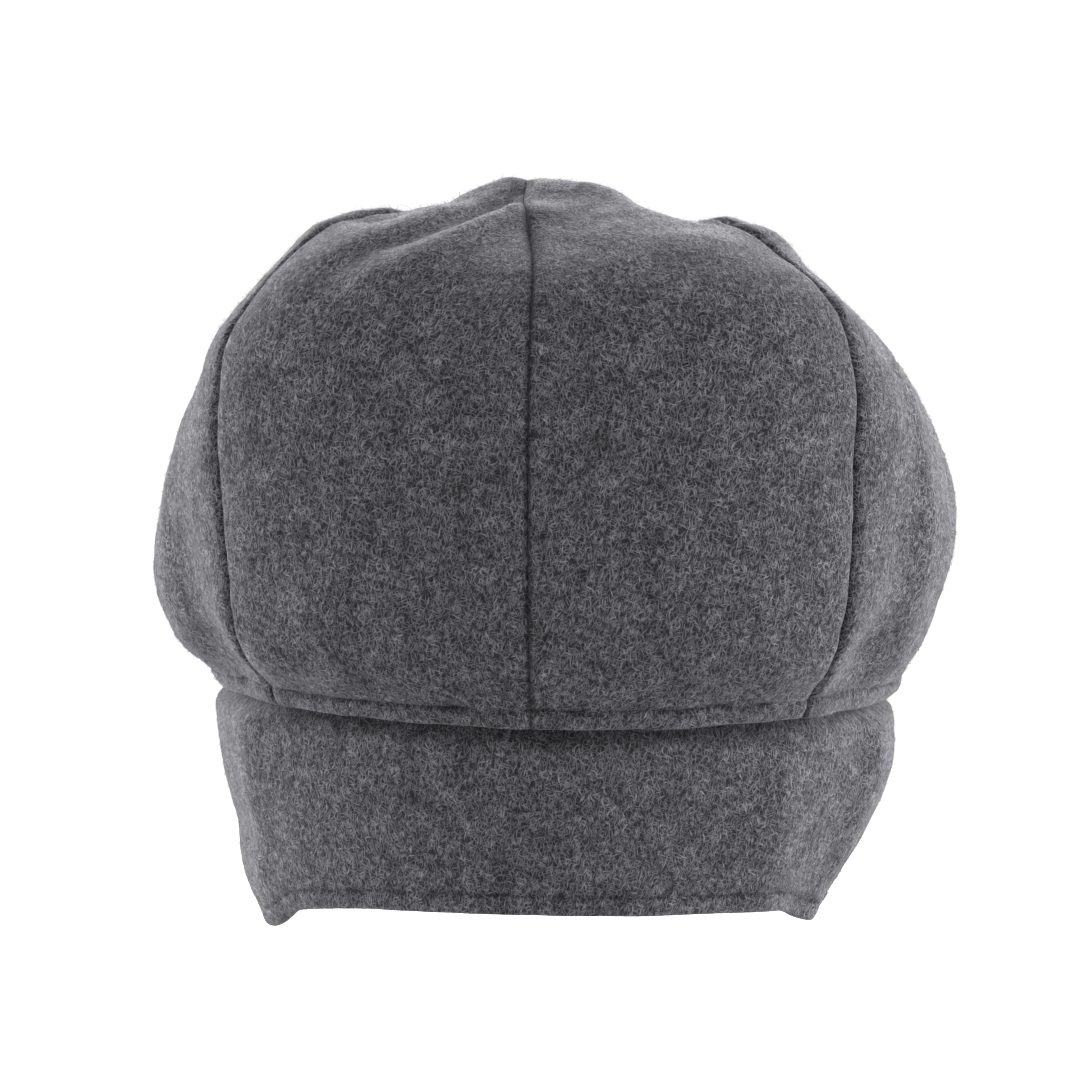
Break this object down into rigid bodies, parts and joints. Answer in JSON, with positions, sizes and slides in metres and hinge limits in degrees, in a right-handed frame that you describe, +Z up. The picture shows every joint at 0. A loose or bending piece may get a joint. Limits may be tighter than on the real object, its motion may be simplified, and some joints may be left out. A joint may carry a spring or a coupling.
{
  "type": "earflap cap",
  "caption": "Panelled wool cap with a puffed crown, a curved peak, a covered top button and a fold-down curtain over neck and ears.",
  "frame": {"origin": "centre of the rim at the crown's lower edge, where the wearer's head enters", "axes": "+Z up out of the top of the crown, -Y out of the peak, +X towards the wearer's left ear"},
  "size_m": [0.2236, 0.2739, 0.2045],
  "materials": {
    "crown_wool": "milled wool melton, mottled mid grey, matt with a short nap",
    "curtain_wool": "the same milled wool, doubled and topstitched along its lower edge",
    "peak_wool": "the same milled wool over a stiff core",
    "button_wool": "the same milled wool over a domed button"
  },
  "bodies": {
    "root": {"crown_panel_1": "crown_wool", "crown_panel_2": "crown_wool", "crown_panel_3": "crown_wool", "crown_panel_4": "crown_wool", "crown_panel_5": "crown_wool", "crown_panel_6": "crown_wool", "crown_panel_7": "crown_wool", "crown_panel_8": "crown_wool", "neck_and_ear_curtain": "curtain_wool", "peak": "peak_wool", "crown_button": "button_wool"}
  },
  "joints": []
}
